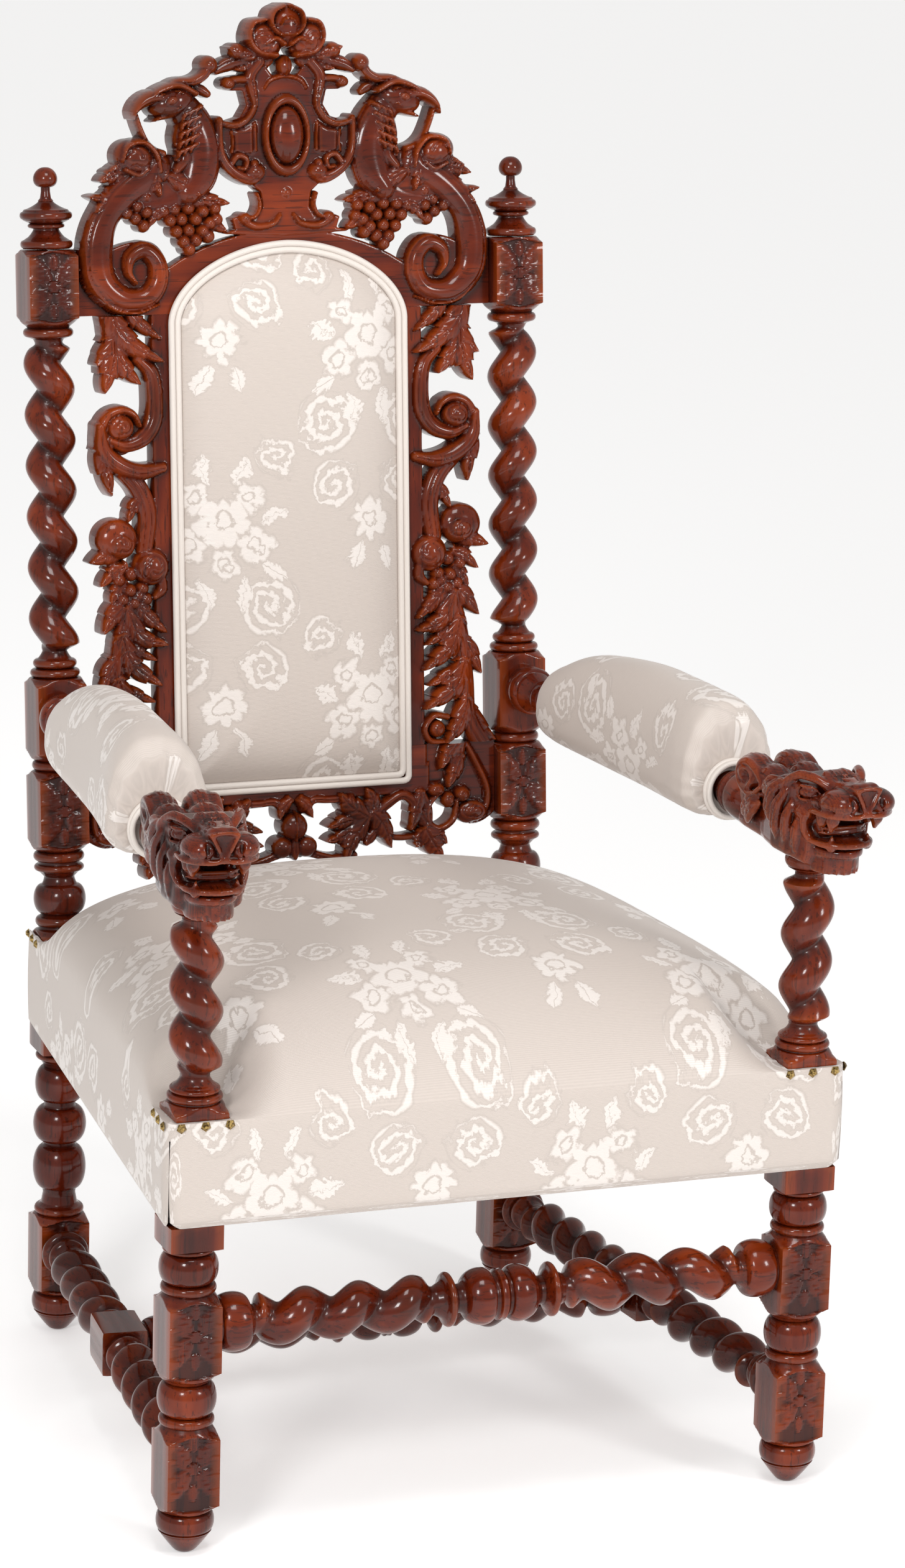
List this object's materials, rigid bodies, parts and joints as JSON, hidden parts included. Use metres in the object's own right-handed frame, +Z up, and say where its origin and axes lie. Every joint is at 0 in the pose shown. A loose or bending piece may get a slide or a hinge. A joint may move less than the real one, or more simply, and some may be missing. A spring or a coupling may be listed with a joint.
{
  "type": "carved throne armchair",
  "caption": "High-backed oak throne armchair with barley-twist posts and stretchers, a pierced crest of griffins, lion-head arms and a damask seat, back and arm pads.",
  "frame": {"origin": "on the floor, under the middle of the chair's bounding box", "axes": "+Z up, +Y towards the back of the chair, so the sitter faces -Y; +X to the right of someone looking at the chair's front"},
  "size_m": [0.7492, 0.8832, 1.4513],
  "materials": {
    "carved_oak": "carved and turned oak, stained red-brown, glossy varnish",
    "dark_oak": "turned oak, stained dark red-brown, glossy varnish",
    "plain_oak": "sawn oak, unfinished, under the cloth",
    "damask": "ivory satin damask, woven with flowers and scrolls",
    "brass_nails": "domed nail heads, aged"
  },
  "bodies": {
    "root": {"arm_left": "carved_oak", "arm_pad_left": "damask", "arm_pad_right": "damask", "arm_right": "carved_oak", "back_pad": "damask", "back_post_left": "carved_oak", "back_post_right": "carved_oak", "back_rail": "carved_oak", "crest": "carved_oak", "cross_stretcher": "dark_oak", "finial_left": "carved_oak", "finial_right": "carved_oak", "front_post_left": "carved_oak", "front_post_right": "carved_oak", "front_stretcher": "carved_oak", "nail_back_left_side_1": "brass_nails", "nail_back_left_side_2": "brass_nails", "nail_back_left_side_3": "brass_nails", "nail_back_right_side_1": "brass_nails", "nail_back_right_side_2": "brass_nails", "nail_back_right_side_3": "brass_nails", "nail_front_left_face_1": "brass_nails", "nail_front_left_face_2": "brass_nails", "nail_front_left_face_3": "brass_nails", "nail_front_left_side_1": "brass_nails", "nail_front_left_side_2": "brass_nails", "nail_front_left_side_3": "brass_nails", "nail_front_right_face_1": "brass_nails", "nail_front_right_face_2": "brass_nails", "nail_front_right_face_3": "brass_nails", "nail_front_right_side_1": "brass_nails", "nail_front_right_side_2": "brass_nails", "nail_front_right_side_3": "brass_nails", "seat_pad": "damask", "seat_rail_back": "plain_oak", "seat_rail_front": "plain_oak", "seat_rail_left": "plain_oak", "seat_rail_right": "plain_oak", "side_stretcher_left": "dark_oak", "side_stretcher_right": "dark_oak", "stile_left": "carved_oak", "stile_right": "carved_oak"}
  },
  "joints": []
}
